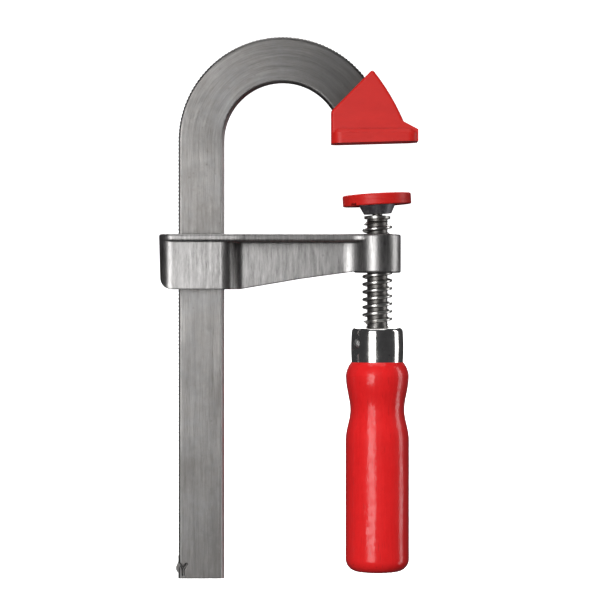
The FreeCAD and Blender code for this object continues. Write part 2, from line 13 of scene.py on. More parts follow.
import bpy
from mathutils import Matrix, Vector


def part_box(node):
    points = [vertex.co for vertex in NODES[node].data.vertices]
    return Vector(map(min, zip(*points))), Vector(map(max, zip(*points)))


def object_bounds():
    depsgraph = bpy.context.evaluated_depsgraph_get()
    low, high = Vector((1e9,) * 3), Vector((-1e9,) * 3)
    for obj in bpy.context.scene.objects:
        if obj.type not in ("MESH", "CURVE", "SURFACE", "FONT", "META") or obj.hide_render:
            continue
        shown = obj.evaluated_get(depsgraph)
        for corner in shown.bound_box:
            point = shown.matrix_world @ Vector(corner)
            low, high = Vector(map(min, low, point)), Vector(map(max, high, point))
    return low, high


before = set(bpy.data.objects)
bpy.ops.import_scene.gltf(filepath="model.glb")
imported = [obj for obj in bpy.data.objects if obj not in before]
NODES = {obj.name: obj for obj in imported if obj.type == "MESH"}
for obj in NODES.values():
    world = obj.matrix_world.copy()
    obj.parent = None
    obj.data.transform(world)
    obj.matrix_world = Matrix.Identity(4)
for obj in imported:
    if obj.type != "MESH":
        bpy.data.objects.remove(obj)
CAD_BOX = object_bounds()
print("pieces in the frame:", ", ".join(sorted(NODES)))

# %% [markdown]
# Sizes come from the frame, in metres, with the spindle's axis at x = 0. Three more are needed
# that a box can't give: the bar's width, the arch's inner radius and the distance from the
# spindle's axis to the bar. They let a finish follow the bar round its bend.

# %% Sizes that the finishes use
MM = 0.001
BAR_WIDTH = 15 * MM
ARCH_INNER_RADIUS = 19.1 * MM
SPINDLE_TO_BAR = 50 * MM

low, high = (Vector(corner) for corner in CAD_BOX)
centre = (low + high) / 2
rail_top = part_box("rail")[1].z
arch_centre = Vector((ARCH_INNER_RADIUS - SPINDLE_TO_BAR, 0,
                      rail_top - ARCH_INNER_RADIUS - BAR_WIDTH))
print("object size in mm:", [round(side / MM, 1) for side in high - low])
print("arch centre in mm:", [round(value / MM, 1) for value in arch_centre])

# %% [markdown]
# ## A short hand for nodes
#
# Every finish here is procedural: a small graph of nodes that works from a point's place on the
# piece. A few helpers keep the graphs readable. `add` makes a node and `fill` its sockets, with
# numbers or with links. `use` places a node group. `calculate`, `remap` and `blend_colour` are
# the three nodes that come up most, and `lay_over` puts a colour over a tone where a mask says.
# `new_group`, in the cell after, opens a node group with named sockets.

# %% Node helpers
MIX_FACTOR, MIX_FIRST, MIX_SECOND, MIX_RESULT = 0, 6, 7, 2    # a Mix node's colour sockets


def fill(tree, node, inputs):
    for name, value in inputs.items():
        if isinstance(value, bpy.types.NodeSocket):
            tree.links.new(value, node.inputs[name])
        else:
            node.inputs[name].default_value = value
    return node


def add(tree, kind, inputs=None, **settings):
    node = tree.nodes.new("ShaderNode" + kind)
    for name, value in settings.items():
        setattr(node, name, value)
    return fill(tree, node, inputs or {})


def use(tree, group, inputs):
    node = tree.nodes.new("ShaderNodeGroup")
    node.node_tree = group
    return fill(tree, node, inputs).outputs


def calculate(tree, operation, first, second=0.0):
    return add(tree, "Math", {0: first, 1: second}, operation=operation).outputs[0]


def remap(tree, value, from_low, from_high, to_low, to_high):
    return add(tree, "MapRange", {"Value": value, "From Min": from_low, "From Max": from_high,
                                  "To Min": to_low, "To Max": to_high}).outputs["Result"]


def blend_colour(tree, factor, first, second):
    node = add(tree, "Mix", data_type="RGBA")
    fill(tree, node, {MIX_FACTOR: factor, MIX_FIRST: first, MIX_SECOND: second})
    return node.outputs[MIX_RESULT]


def lay_over(tree, tone, mask, amount, colour):
    """The tone, with this much of the colour over it where the mask is 1."""
    return blend_colour(tree, calculate(tree, "MULTIPLY", mask, amount), tone, colour)


# %% A helper that opens a node group
def new_group(name, inputs, outputs):
    """Returns the group's tree, the sockets that feed it and the sockets that it fills."""
    tree = bpy.data.node_groups.new(name, "ShaderNodeTree")
    for label, kind, value in inputs:
        socket = tree.interface.new_socket(name=label, in_out="INPUT",
                                           socket_type="NodeSocket" + kind)
        if value is not None:
            socket.default_value = value
    for label, kind in outputs:
        tree.interface.new_socket(name=label, in_out="OUTPUT", socket_type="NodeSocket" + kind)
    source = tree.nodes.new("NodeGroupInput")
    result = tree.nodes.new("NodeGroupOutput")
    return tree, source.outputs, result.inputs


# %% [markdown]
# ## Place along the bar
#
# A rolled bar is streaked along its length, and the streaks go round the bend with it. A plain
# stretched noise would run straight up through the arch. This group turns a point of the rail
# into bar coordinates: how far across the bar it is, and how far along. Below the bend that is
# x and z. In the bend it is the distance from the arch's centre and the angle round it.

# %% Group: place along the bar
def make_bar_place():
    tree, source, result = new_group(
        "place along the bar",
        [("Place", "Vector", None), ("Arch Centre", "Vector", tuple(arch_centre))],
        [("Bar Place", "Vector")])
    offset = add(tree, "VectorMath", {0: source["Place"], 1: source["Arch Centre"]},
                 operation="SUBTRACT").outputs[0]
    parts = add(tree, "SeparateXYZ", {0: offset}).outputs
    above = calculate(tree, "MAXIMUM", parts["Z"], 0.0)
    below = calculate(tree, "MINIMUM", parts["Z"], 0.0)
    flat = add(tree, "CombineXYZ", {"X": parts["X"], "Y": above}).outputs[0]
    across = add(tree, "VectorMath", {0: flat}, operation="LENGTH").outputs["Value"]
    angle = calculate(tree, "ARCTAN2", above, calculate(tree, "MULTIPLY", parts["X"], -1.0))
    bend = calculate(tree, "MULTIPLY", angle, ARCH_INNER_RADIUS + BAR_WIDTH / 2)
    along = calculate(tree, "ADD", bend, below)
    place = add(tree, "CombineXYZ", {"X": across, "Y": parts["Y"], "Z": along}).outputs[0]
    tree.links.new(place, result["Bar Place"])
    return tree


BAR_PLACE = make_bar_place()
print("group:", BAR_PLACE.name)

# %% [markdown]
# ## Streaks
#
# Rolling, drawing and brushing all leave lines that are long one way and fine the other. The
# trick is one noise texture on coordinates that are squeezed along the lines. A second, finer
# octave of the same gives the hairlines. The group gives a tint for colour and roughness, and a
# height for a bump.

# %% Group: streaks
HAIR_FINENESS = 4.2            # hairlines to each broad line
BROAD_SHARE = 0.6


def make_streaks():
    tree, source, result = new_group(
        "streaks",
        [("Place", "Vector", None), ("Squeeze", "Vector", (1.0, 1.0, 0.03)),
         ("Lines per Metre", "Float", 1500.0), ("Contrast", "Float", 1.0)],
        [("Tint", "Float"), ("Height", "Float")])
    stretched = add(tree, "VectorMath", {0: source["Place"], 1: source["Squeeze"]},
                    operation="MULTIPLY").outputs[0]
    broad = add(tree, "TexNoise", {"Vector": stretched, "Scale": source["Lines per Metre"],
                                   "Detail": 3.0, "Roughness": 0.6}).outputs[0]
    finer = calculate(tree, "MULTIPLY", source["Lines per Metre"], HAIR_FINENESS)
    hairs = add(tree, "TexNoise", {"Vector": stretched, "Scale": finer,
                                   "Detail": 2.0, "Roughness": 0.7}).outputs[0]
    both = calculate(tree, "ADD", calculate(tree, "MULTIPLY", broad, BROAD_SHARE),
                     calculate(tree, "MULTIPLY", hairs, 1 - BROAD_SHARE))
    centred = calculate(tree, "SUBTRACT", both, 0.5)
    tint = calculate(tree, "ADD", calculate(tree, "MULTIPLY", centred, source["Contrast"]), 0.5)
    clamped = remap(tree, tint, 0.0, 1.0, 0.0, 1.0)
    tree.links.new(clamped, result["Tint"])
    tree.links.new(both, result["Height"])
    return tree


STREAKS = make_streaks()
print("group:", STREAKS.name)

# %% [markdown]
# ## Cloudiness
#
# No real surface has one roughness all over. Handling, plating and polishing leave soft patches
# some millimetres across. Two sizes of noise, multiplied, make patches that don't look like
# noise. Every finish uses this one, each with its own size.

# %% Group: clouds
SMALL_PATCH_FINENESS = 6.5     # small patches to each wide one
CLOUD_LOW, CLOUD_HIGH = 0.16, 0.36    # where the product of the two noises mostly lies


def make_clouds():
    tree, source, result = new_group(
        "clouds",
        [("Place", "Vector", None), ("Patches per Metre", "Float", 90.0)],
        [("Value", "Float")])
    wide = add(tree, "TexNoise", {"Vector": source["Place"], "Scale": source["Patches per Metre"],
                                  "Detail": 2.0, "Roughness": 0.5}).outputs[0]
    small_scale = calculate(tree, "MULTIPLY", source["Patches per Metre"],
                            SMALL_PATCH_FINENESS)
    small = add(tree, "TexNoise", {"Vector": source["Place"], "Scale": small_scale,
                                   "Detail": 4.0, "Roughness": 0.65}).outputs[0]
    mixed = calculate(tree, "MULTIPLY", wide, small)
    tree.links.new(remap(tree, mixed, CLOUD_LOW, CLOUD_HIGH, 0.0, 1.0), result["Value"])
    return tree


CLOUDS = make_clouds()
print("group:", CLOUDS.name)

# %% [markdown]
# ## Fine skin
#
# A casting that has been tumbled, and a plastic moulded in an etched tool, both have a skin of
# tiny dimples. Cells from a Voronoi texture give the dimples and noise breaks up their order.
# The height is small: it should be felt in the highlight and not seen as a pattern.

# %% Group: fine skin
GRAIN_FINENESS = 0.37          # grains to each dimple
DIMPLE_SHARE = 0.45


def make_skin():
    tree, source, result = new_group(
        "fine skin",
        [("Place", "Vector", None), ("Dimples per Metre", "Float", 2500.0)],
        [("Height", "Float")])
    cells = add(tree, "TexVoronoi", {"Vector": source["Place"],
                                     "Scale": source["Dimples per Metre"]},
                feature="SMOOTH_F1").outputs["Distance"]
    rough_scale = calculate(tree, "MULTIPLY", source["Dimples per Metre"], GRAIN_FINENESS)
    grain = add(tree, "TexNoise", {"Vector": source["Place"], "Scale": rough_scale,
                                   "Detail": 5.0, "Roughness": 0.6}).outputs[0]
    height = calculate(tree, "ADD", calculate(tree, "MULTIPLY", cells, DIMPLE_SHARE),
                       calculate(tree, "MULTIPLY", grain, 1 - DIMPLE_SHARE))
    tree.links.new(height, result["Height"])
    return tree


SKIN = make_skin()
print("group:", SKIN.name)

# %% [markdown]
# ## Worn edges
#
# Edges are rubbed first: plate goes thin and bright there, and paint goes pale. Cycles can find
# an edge by itself. A Bevel node gives the normal that a rounded edge would have, and where that
# differs from the true normal, there is an edge. Noise breaks the mask up, because wear is never
# an even line.

# %% Group: worn edges
BEVEL_SAMPLES = 6
FLAT_AGREEMENT, EDGE_AGREEMENT = 0.995, 0.90    # cosine between the two normals
BREAK_STARTS, BREAK_FULL = 0.42, 0.62           # noise values between which wear comes in


def make_worn_edges():
    tree, source, result = new_group(
        "worn edges",
        [("Place", "Vector", None), ("Width", "Float", 0.3 * MM),
         ("Breaks per Metre", "Float", 400.0)],
        [("Mask", "Float")])
    rounded = add(tree, "Bevel", {"Radius": source["Width"]}, samples=BEVEL_SAMPLES).outputs[0]
    true_normal = add(tree, "NewGeometry").outputs["Normal"]
    agreement = add(tree, "VectorMath", {0: rounded, 1: true_normal},
                    operation="DOT_PRODUCT").outputs["Value"]
    edge = remap(tree, agreement, FLAT_AGREEMENT, EDGE_AGREEMENT, 0.0, 1.0)
    breaks = add(tree, "TexNoise", {"Vector": source["Place"], "Scale": source["Breaks per Metre"],
                                    "Detail": 4.0, "Roughness": 0.7}).outputs[0]
    patchy = remap(tree, breaks, BREAK_STARTS, BREAK_FULL, 0.0, 1.0)
    tree.links.new(calculate(tree, "MULTIPLY", edge, patchy), result["Mask"])
    return tree


WORN_EDGES = make_worn_edges()
print("group:", WORN_EDGES.name)

# %% [markdown]
# ## Specks
#
# Plated and cast parts carry a few pin-prick pits and lighter grains. Each Voronoi cell has a
# random colour of its own; keeping only a small share of the cells leaves specks here and
# there. The distance to the cell's middle makes them round.

# %% Group: specks
SPECK_CORE, SPECK_RIM = 0.12, 0.34    # in cell widths from the cell's middle


def make_specks():
    tree, source, result = new_group(
        "specks",
        [("Place", "Vector", None), ("Specks per Metre", "Float", 900.0), ("Share", "Float", 0.12)],
        [("Mask", "Float")])
    cells = add(tree, "TexVoronoi", {"Vector": source["Place"],
                                     "Scale": source["Specks per Metre"]})
    chance = add(tree, "SeparateColor", {0: cells.outputs["Color"]}).outputs[0]
    chosen = calculate(tree, "LESS_THAN", chance, source["Share"])
    dot = remap(tree, cells.outputs["Distance"], SPECK_CORE, SPECK_RIM, 1.0, 0.0)
    tree.links.new(calculate(tree, "MULTIPLY", chosen, dot), result["Mask"])
    return tree


SPECKS = make_specks()
print("group:", SPECKS.name)

# %% [markdown]
# ## Painted shade in the corners
#
# This group paints shade into corners and recesses: under the arm's flange, between the threads and
# in the red caps' inner corners. Cycles can measure how closed-in a point is, with its Ambient
# Occlusion node, and noise makes the painted shade uneven.

# %% Group: painted corner shade
OPEN_SURFACE, DEEP_CORNER = 0.92, 0.35    # how much of the sky a point sees


def make_corner_shade():
    tree, source, result = new_group(
        "painted corner shade",
        [("Place", "Vector", None), ("Reach", "Float", 1.5 * MM), ("Amount", "Float", 0.8)],
        [("Mask", "Float")])
    openness = add(tree, "AmbientOcclusion", {"Distance": source["Reach"]}, samples=8).outputs["AO"]
    closed_in = remap(tree, openness, OPEN_SURFACE, DEEP_CORNER, 0.0, 1.0)
    uneven = add(tree, "TexNoise", {"Vector": source["Place"], "Scale": 380.0, "Detail": 4.0,
                                    "Roughness": 0.65}).outputs[0]
    # painted shade: darker where a point is closed in, broken up by noise
    painted_shade_amount = calculate(tree, "MULTIPLY", closed_in, remap(tree, uneven, 0.25, 0.55, 0.6, 1.0))
    tree.links.new(calculate(tree, "MULTIPLY", painted_shade_amount, source["Amount"]), result["Mask"])
    return tree


CORNER_SHADE = make_corner_shade()
print("group:", CORNER_SHADE.name)

# %% [markdown]
# ## Putting a finish on a piece
#
# Each finish is one material with one Principled shader. Values that are the same all over the
# piece, such as the coat's roughness, are set on the shader's own sockets. Values that change
# over the surface are linked. `softened` gives a sharp edge the look of a small round without
# touching the mesh: the casting's and the bar's edges need it, as no real edge is perfectly
# sharp. `finish_piece` puts the material in the piece's own slots, so the mesh from the frame
# isn't touched.

# %% Material helpers
def start_material(name, **constants):
    material = bpy.data.materials.new(name)
    material.use_nodes = True
    tree = material.node_tree
    shader = tree.nodes["Principled BSDF"]
    for label, value in constants.items():
        shader.inputs[label.replace("_", " ")].default_value = value
    place = add(tree, "TexCoord").outputs["Object"]
    return material, tree, shader, place


def bump(tree, height, depth, under=None):
    """A Bump node of this depth in metres, on top of another bump's normal."""
    node = add(tree, "Bump", {"Height": height, "Distance": depth, "Strength": 1.0})
    if under is not None:
        tree.links.new(under, node.inputs["Normal"])
    return node.outputs["Normal"]


def softened(tree, width):
    """The normal that the piece would have if its sharp edges were rounded over this width."""
    return add(tree, "Bevel", {"Radius": width}, samples=BEVEL_SAMPLES).outputs[0]


def finish_piece(node_name, material):
    piece = NODES[node_name]
    if not piece.material_slots:
        piece.data.materials.append(None)
    for slot in piece.material_slots:
        slot.material = material
    print(f"{node_name}: {material.name}, {len(material.node_tree.nodes)} nodes")


# %% [markdown]
# ## The bar: rolled steel
#
# The bar is a warm satin grey. Its faces show streaks along their length, soft cloudy patches that
# drift between warm and cool, a few pits and fine scratches. Two places are painted darker: the end
# of the bend, as painted shade, and the foot. Both are set by the distance along the bar. The
# serrated edge and the rolled corners are rubbed a little brighter, and a pale matt line is painted
# along the straight inner edge as a painted highlight.

# %% The rail's tone
DARK_STREAK = (0.17, 0.161, 0.153, 1)
PALE_STREAK = (0.52, 0.503, 0.487, 1)
COOL_PATCH = (0.34, 0.35, 0.365, 1)
WARM_PATCH = (0.28, 0.266, 0.252, 1)
ARCH_SHADE_AND_FOOT_TONE = (0.10, 0.098, 0.095, 1)
ARCH_SHADE_STARTS, ARCH_SHADE_FULL = 30 * MM, 70 * MM       # along the bar, from the start of the bend
FOOT_DARK_STARTS, FOOT_DARK_FULL = -50 * MM, -145 * MM


def bar_tone(tree, place, bar, lines):
    along = add(tree, "SeparateXYZ", {0: bar}).outputs["Z"]
    # painted shade towards the end of the bend; the foot is painted darker too
    arch_end_shade = remap(tree, along, ARCH_SHADE_STARTS, ARCH_SHADE_FULL, 0.0, 0.92)
    darker_foot = remap(tree, along, FOOT_DARK_STARTS, FOOT_DARK_FULL, 0.0, 0.45)
    cool = use(tree, CLOUDS, {"Place": place, "Patches per Metre": 55.0})["Value"]
    dull = use(tree, CLOUDS, {"Place": bar, "Patches per Metre": 130.0})["Value"]
    tone = blend_colour(tree, lines["Tint"], DARK_STREAK, PALE_STREAK)
    tone = lay_over(tree, tone, cool, 0.40, COOL_PATCH)
    tone = lay_over(tree, tone, dull, 0.40, WARM_PATCH)
    return blend_colour(tree, calculate(tree, "MAXIMUM", arch_end_shade, darker_foot), tone, ARCH_SHADE_AND_FOOT_TONE)


# %% The rail's painted highlight on its inner edge
EDGE_HIGHLIGHT_WIDTH = 1.0 * MM
EDGE_HIGHLIGHT_FADE = 0.15 * MM
EDGE_HIGHLIGHT_ENDS, EDGE_HIGHLIGHT_FULL = 12 * MM, -4 * MM         # along the bar, from the start of the bend


def painted_inner_edge_highlight(tree, bar):
    """1 on the bar's straight inner edge, where the arm slides and a painted highlight goes, and 0
    elsewhere.
    """
    parts = add(tree, "SeparateXYZ", {0: bar}).outputs
    highlight_end = ARCH_INNER_RADIUS + EDGE_HIGHLIGHT_WIDTH
    near_edge = remap(tree, parts["X"], highlight_end + EDGE_HIGHLIGHT_FADE, highlight_end - EDGE_HIGHLIGHT_FADE, 0.0, 1.0)
    straight = remap(tree, parts["Z"], EDGE_HIGHLIGHT_ENDS, EDGE_HIGHLIGHT_FULL, 0.0, 1.0)
    return calculate(tree, "MULTIPLY", near_edge, straight)


# %% Finish the rail
PIT = (0.20, 0.19, 0.18, 1)
RUBBED_STEEL = (0.78, 0.77, 0.75, 1)
INNER_EDGE_HIGHLIGHT = (0.88, 0.87, 0.86, 1)


def bar_steel():
    material, tree, shader, place = start_material("rolled bar steel", Metallic=1.0)
    bar = use(tree, BAR_PLACE, {"Place": place})["Bar Place"]
    lines = use(tree, STREAKS, {"Place": bar, "Squeeze": (1.0, 1.0, 0.045),
                                "Lines per Metre": 1050.0, "Contrast": 2.6})
    scratches = use(tree, STREAKS, {"Place": bar, "Squeeze": (1.0, 1.0, 0.012),
                                    "Lines per Metre": 2600.0, "Contrast": 1.0})
    patches = use(tree, CLOUDS, {"Place": bar, "Patches per Metre": 70.0})["Value"]
    worn = use(tree, WORN_EDGES, {"Place": place, "Width": 0.35 * MM})["Mask"]
    pits = use(tree, SPECKS, {"Place": place, "Specks per Metre": 700.0, "Share": 0.05})["Mask"]
    tone = bar_tone(tree, place, bar, lines)
    tone = lay_over(tree, tone, pits, 0.4, PIT)
    tone = lay_over(tree, tone, worn, 0.6, RUBBED_STEEL)
    inner_edge_highlight = painted_inner_edge_highlight(tree, bar)
    # painted highlight: a pale line along the straight inner edge
    tone = blend_colour(tree, inner_edge_highlight, tone, INNER_EDGE_HIGHLIGHT)
    rough = remap(tree, calculate(tree, "ADD", lines["Tint"], patches), 0.3, 1.6, 0.36, 0.50)
    rough = calculate(tree, "SUBTRACT", rough, calculate(tree, "MULTIPLY", worn, 0.12))
    rough = calculate(tree, "ADD", rough, calculate(tree, "MULTIPLY", inner_edge_highlight, 0.3))
    normal = bump(tree, scratches["Height"], 0.014 * MM, softened(tree, 0.4 * MM))
    normal = bump(tree, lines["Height"], 0.03 * MM, normal)
    fill(tree, shader, {"Base Color": tone, "Roughness": rough, "Normal": normal})
    return material


finish_piece("rail", bar_steel())

# %% [markdown]
# ## The arm: tumbled zinc casting
#
# The casting is lighter and cooler than the bar. It was linished upright and then tumbled with
# small stones, so short upright scratches show through an even satin skin with tiny dimples.
# The highlight stays soft, so the shape reads by broad bands of light and dark on its rounded
# corners, and by a painted shade under its flange and in its inner corners.

# %% Finish the sliding arm
DARK_SCRATCH = (0.26, 0.253, 0.248, 1)
PALE_SCRATCH = (0.62, 0.608, 0.60, 1)
DULL_ZINC = (0.50, 0.49, 0.485, 1)
CASTING_PIT = (0.30, 0.30, 0.30, 1)
ARM_PAINTED_SHADE = (0.07, 0.067, 0.064, 1)
RUBBED_ZINC = (0.80, 0.79, 0.78, 1)


def zinc_casting():
    material, tree, shader, place = start_material("tumbled zinc", Metallic=1.0)
    skin = use(tree, SKIN, {"Place": place, "Dimples per Metre": 2600.0})["Height"]
    patches = use(tree, CLOUDS, {"Place": place, "Patches per Metre": 110.0})["Value"]
    rubbed = use(tree, STREAKS, {"Place": place, "Squeeze": (1.0, 1.0, 0.10),
                                 "Lines per Metre": 1000.0, "Contrast": 3.4})
    worn = use(tree, WORN_EDGES, {"Place": place, "Width": 0.5 * MM})["Mask"]
    pits = use(tree, SPECKS, {"Place": place, "Specks per Metre": 620.0, "Share": 0.04})["Mask"]
    painted_shade = use(tree, CORNER_SHADE, {"Place": place, "Reach": 4.0 * MM, "Amount": 1.0})["Mask"]
    tone = blend_colour(tree, rubbed["Tint"], DARK_SCRATCH, PALE_SCRATCH)
    tone = lay_over(tree, tone, patches, 0.45, DULL_ZINC)
    tone = lay_over(tree, tone, pits, 0.5, CASTING_PIT)
    # painted shade in the casting's corners and under its flange
    tone = blend_colour(tree, painted_shade, tone, ARM_PAINTED_SHADE)
    tone = lay_over(tree, tone, worn, 0.25, RUBBED_ZINC)
    rough = remap(tree, patches, 0.0, 1.0, 0.36, 0.43)
    rough = calculate(tree, "SUBTRACT", rough, calculate(tree, "MULTIPLY", worn, 0.1))
    normal = bump(tree, skin, 0.035 * MM, softened(tree, 0.6 * MM))
    normal = bump(tree, rubbed["Height"], 0.02 * MM, normal)
    fill(tree, shader, {"Base Color": tone, "Roughness": rough, "Normal": normal})
    return material


finish_piece("sliding_arm", zinc_casting())

# %% [markdown]
# ## The spindle: rolled thread, bright plate
#
# A rolled thread is burnished by the dies, so its flanks are brighter than the bar. Shade is
# painted into the root, darker the deeper it lies, and the corner shade adds more where the thread
# is closed in. Distance from the spindle's axis tells root from crest.

# %% Finish the spindle
CORE_RADIUS = 3.35 * MM
CREST_RADIUS = 4.9 * MM
DARK_THREAD = (0.58, 0.57, 0.55, 1)
PALE_THREAD = (0.74, 0.73, 0.71, 1)
THREAD_PAINTED_SHADE = (0.16, 0.15, 0.14, 1)


def from_spindle_axis(tree, place):
    parts = add(tree, "SeparateXYZ", {0: place}).outputs
    flat = add(tree, "CombineXYZ", {"X": parts["X"], "Y": parts["Y"]}).outputs[0]
    return add(tree, "VectorMath", {0: flat}, operation="LENGTH").outputs["Value"]


def spindle_steel():
    material, tree, shader, place = start_material("rolled thread steel", Metallic=1.0)
    radius = from_spindle_axis(tree, place)
    rise = remap(tree, radius, CORE_RADIUS, CREST_RADIUS, 0.0, 1.0)
    patches = use(tree, CLOUDS, {"Place": place, "Patches per Metre": 260.0})["Value"]
    rolled = use(tree, STREAKS, {"Place": place, "Squeeze": (0.15, 0.15, 1.0),
                                 "Lines per Metre": 3200.0, "Contrast": 1.2})
    # painted shade at the thread's root, deepest where the radius is smallest
    root = remap(tree, calculate(tree, "SUBTRACT", calculate(tree, "MULTIPLY", patches, 0.4), rise),
                 -0.55, 0.1, 0.0, 0.85)
    shade = use(tree, CORNER_SHADE, {"Place": place, "Reach": 1.2 * MM, "Amount": 0.7})["Mask"]
    painted_shade = calculate(tree, "MAXIMUM", root, shade)
    tone = blend_colour(tree, rolled["Tint"], DARK_THREAD, PALE_THREAD)
    tone = blend_colour(tree, painted_shade, tone, THREAD_PAINTED_SHADE)
    rough = remap(tree, painted_shade, 0.0, 0.75, 0.28, 0.46)
    normal = bump(tree, rolled["Height"], 0.012 * MM)
    fill(tree, shader, {"Base Color": tone, "Roughness": rough, "Normal": normal})
    return material


finish_piece("spindle", spindle_steel())

# %% [markdown]
# ## The ferrule: bright nickel plate
#
# The ferrule is drawn from sheet and plated. It is nearly a mirror: long bands of the studio's
# lights run down it. A mirror with nothing on it looks like a toy, so it gets very faint drawing
# lines round it, finger-soft patches in its roughness, and a few specks of dust.

# %% Finish the ferrule
DULL_NICKEL = (0.80, 0.785, 0.76, 1)
BRIGHT_NICKEL = (0.88, 0.87, 0.85, 1)
DUST = (0.4, 0.38, 0.36, 1)


def ferrule_nickel():
    material, tree, shader, place = start_material("bright nickel", Metallic=1.0)
    patches = use(tree, CLOUDS, {"Place": place, "Patches per Metre": 150.0})["Value"]
    drawn = use(tree, STREAKS, {"Place": place, "Squeeze": (0.06, 0.06, 1.0),
                                "Lines per Metre": 2400.0, "Contrast": 1.0})
    specks = use(tree, SPECKS, {"Place": place, "Specks per Metre": 800.0, "Share": 0.05})["Mask"]
    tone = blend_colour(tree, patches, DULL_NICKEL, BRIGHT_NICKEL)
    tone = lay_over(tree, tone, specks, 0.5, DUST)
    rough = remap(tree, patches, 0.0, 1.0, 0.11, 0.20)
    normal = bump(tree, drawn["Height"], 0.004 * MM)
    fill(tree, shader, {"Base Color": tone, "Roughness": rough, "Normal": normal})
    return material


finish_piece("ferrule", ferrule_nickel())

# %% [markdown]
# ## The cross pin: a riveted head
#
# The pin's heads are hammered over, so they are bright, uneven, and a little dished by the blow.

# %% Finish the cross pin
DARK_PIN = (0.50, 0.49, 0.48, 1)
PALE_PIN = (0.72, 0.71, 0.70, 1)


def pin_steel():
    material, tree, shader, place = start_material("hammered pin steel", Metallic=1.0)
    blows = use(tree, CLOUDS, {"Place": place, "Patches per Metre": 900.0})["Value"]
    skin = use(tree, SKIN, {"Place": place, "Dimples per Metre": 3500.0})["Height"]
    tone = blend_colour(tree, blows, DARK_PIN, PALE_PIN)
    rough = remap(tree, blows, 0.0, 1.0, 0.24, 0.40)
    normal = bump(tree, blows, 0.08 * MM)
    normal = bump(tree, skin, 0.01 * MM, normal)
    fill(tree, shader, {"Base Color": tone, "Roughness": rough, "Normal": normal})
    return material


finish_piece("cross_pin", pin_steel())

# %% [markdown]
# ## The swivel plate and its ring: dark steel
#
# The plate is phosphated nearly black and oiled. The same recipe in a cooler tone serves the
# spring-steel ring, so one function makes both. Rubbed edges show the steel beneath.

# %% Finish the pressure plate and the retaining ring
DEEP_PHOSPHATE = (0.22, 0.213, 0.238, 1)
PALE_PHOSPHATE = (0.42, 0.405, 0.43, 1)
DEEP_SPRING_STEEL = (0.09, 0.095, 0.11, 1)
PALE_SPRING_STEEL = (0.20, 0.20, 0.22, 1)
BARE_STEEL = (0.55, 0.54, 0.52, 1)
ROUGHNESS_SPREAD = 0.16


def dark_steel(name, deep, pale, lowest_roughness):
    material, tree, shader, place = start_material(name, Metallic=1.0)
    patches = use(tree, CLOUDS, {"Place": place, "Patches per Metre": 220.0})["Value"]
    skin = use(tree, SKIN, {"Place": place, "Dimples per Metre": 4200.0})["Height"]
    worn = use(tree, WORN_EDGES, {"Place": place, "Width": 0.25 * MM,
                                  "Breaks per Metre": 700.0})["Mask"]
    tone = blend_colour(tree, patches, deep, pale)
    tone = lay_over(tree, tone, worn, 0.7, BARE_STEEL)
    rough = remap(tree, patches, 0.0, 1.0, lowest_roughness, lowest_roughness + ROUGHNESS_SPREAD)
    normal = bump(tree, skin, 0.02 * MM)
    fill(tree, shader, {"Base Color": tone, "Roughness": rough, "Normal": normal})
    return material


finish_piece("pressure_plate",
             dark_steel("phosphated steel", DEEP_PHOSPHATE, PALE_PHOSPHATE, 0.46))
finish_piece("retaining_ring",
             dark_steel("spring steel", DEEP_SPRING_STEEL, PALE_SPRING_STEEL, 0.24))

# %% [markdown]
# ## Red moulded plastic
#
# The jaw cap and the pad's cap are the same red plastic. It is dyed through, so its colour is even,
# but the skin changes: a fine etched texture, slight flow marks that drift across it and a thin
# parting line where the mould closed. The red is painted darker along its edges, and painted shade
# darkens its inner corners. A little subsurface would be true but isn't seen at this thickness, so
# it is left out.

# %% Finish the jaw cap and the plate cap
PLASTIC_DEEP = (0.44, 0.010, 0.008, 1)
PLASTIC_RED = (0.56, 0.016, 0.012, 1)
PLASTIC_SHADE_AND_EDGE_DARK = (0.22, 0.014, 0.012, 1)
PARTING_CORE, PARTING_RIM = 0.05 * MM, 0.12 * MM  # from the middle of the mould's parting line


def red_plastic(name, parting_axis, parting_place, shade_reach):
    material, tree, shader, place = start_material(name, Specular_IOR_Level=0.32, IOR=1.5)
    skin = use(tree, SKIN, {"Place": place, "Dimples per Metre": 3000.0})["Height"]
    flow = use(tree, STREAKS, {"Place": place, "Squeeze": (0.35, 1.0, 1.0),
                               "Lines per Metre": 240.0, "Contrast": 1.4})
    patches = use(tree, CLOUDS, {"Place": place, "Patches per Metre": 160.0})["Value"]
    worn = use(tree, WORN_EDGES, {"Place": place, "Width": 0.45 * MM})["Mask"]
    parts = add(tree, "SeparateXYZ", {0: place}).outputs
    distance = calculate(tree, "ABSOLUTE", calculate(tree, "SUBTRACT", parts[parting_axis],
                                                     parting_place))
    parting = remap(tree, distance, PARTING_CORE, PARTING_RIM, 1.0, 0.0)
    painted_shade = use(tree, CORNER_SHADE, {"Place": place, "Reach": shade_reach, "Amount": 1.0})["Mask"]
    # painted shade in the inner corners, with the red also painted darker along the edges
    corner_shade_and_dark_edges = calculate(tree, "MAXIMUM", painted_shade, calculate(tree, "MULTIPLY", worn, 0.55))
    tone = blend_colour(tree, flow["Tint"], PLASTIC_DEEP, PLASTIC_RED)
    tone = blend_colour(tree, corner_shade_and_dark_edges, tone, PLASTIC_SHADE_AND_EDGE_DARK)
    rough = remap(tree, patches, 0.0, 1.0, 0.34, 0.46)
    normal = bump(tree, skin, 0.02 * MM)
    normal = bump(tree, flow["Height"], 0.03 * MM, normal)
    normal = bump(tree, parting, 0.05 * MM, normal)
    fill(tree, shader, {"Base Color": tone, "Roughness": rough, "Normal": normal})
    return material


